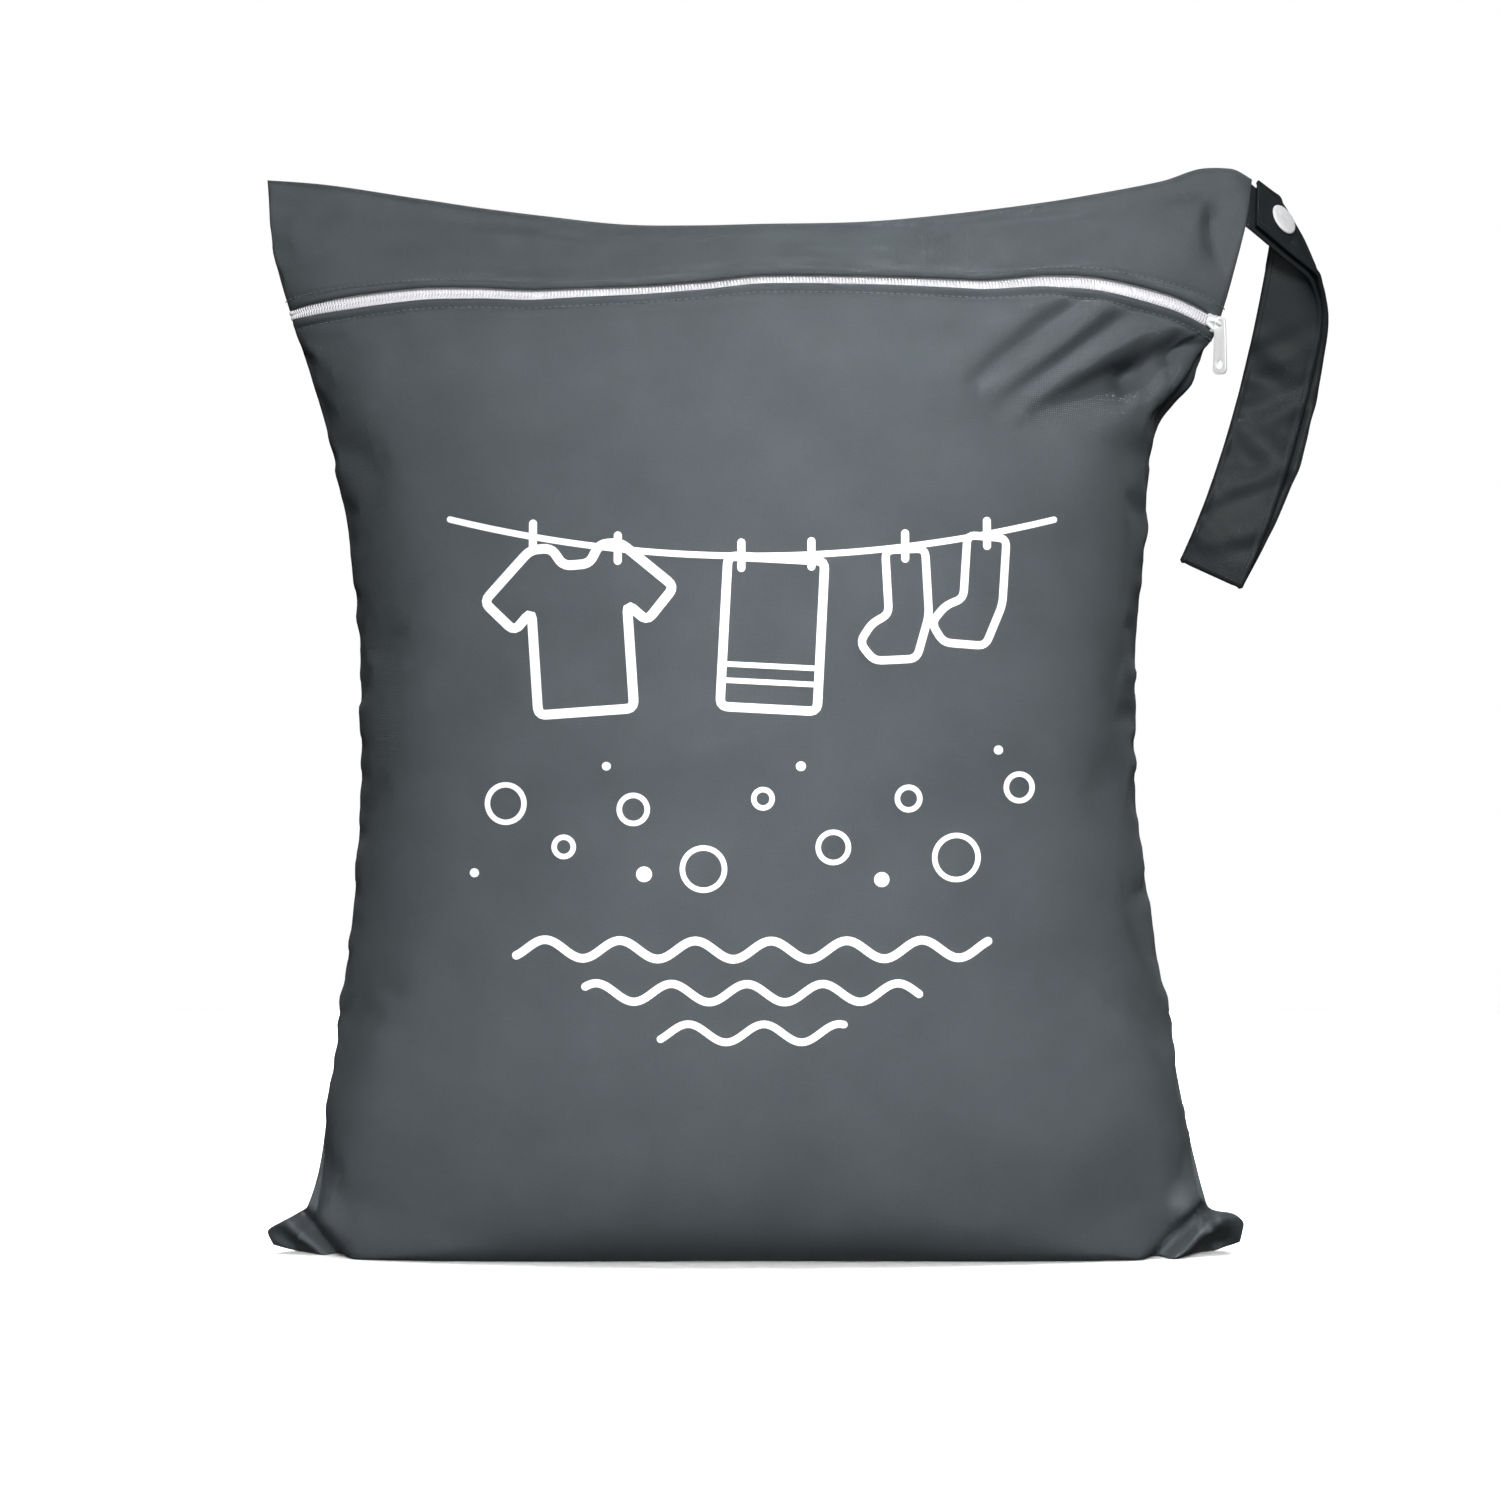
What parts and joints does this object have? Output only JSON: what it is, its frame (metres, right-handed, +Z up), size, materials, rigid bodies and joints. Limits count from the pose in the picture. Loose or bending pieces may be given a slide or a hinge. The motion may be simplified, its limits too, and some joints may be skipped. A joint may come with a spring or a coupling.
{
  "type": "travel laundry bag",
  "caption": "Filled, pillow-shaped cloth laundry bag with a zip across the front, a swinging metal pull tab and a doubled side strap closed by a snap.",
  "frame": {"origin": "on the floor plane under the bag, midway between the side seams and in the plane of the side seams", "axes": "+Z up, -Y out of the front with the zip, +X towards the side seam with the strap"},
  "size_m": [0.4195, 0.1922, 0.4234],
  "materials": {
    "cloth": "matt coated weave",
    "tape": "woven tape",
    "coil": "white coil",
    "metal": "nickel plated",
    "snap": "white resin"
  },
  "bodies": {
    "bag": {"front_panel": "cloth", "top_band": "cloth", "back_panel": "cloth", "zip_tape": "tape", "zip_chain": "coil", "zip_slider": "metal", "strap": "cloth", "snap_cap": "snap", "snap_socket": "snap", "snap_stud": "snap"},
    "pull": {"zip_pull": "metal"}
  },
  "joints": [
    {"name": "pull_swing", "type": "hinge", "parent": "bag", "child": "pull", "pos_m": [0.18083, -0.01674, 0.36088], "axis": [-0.7193, -0.6947, 0], "range_deg": [0, 150]}
  ]
}
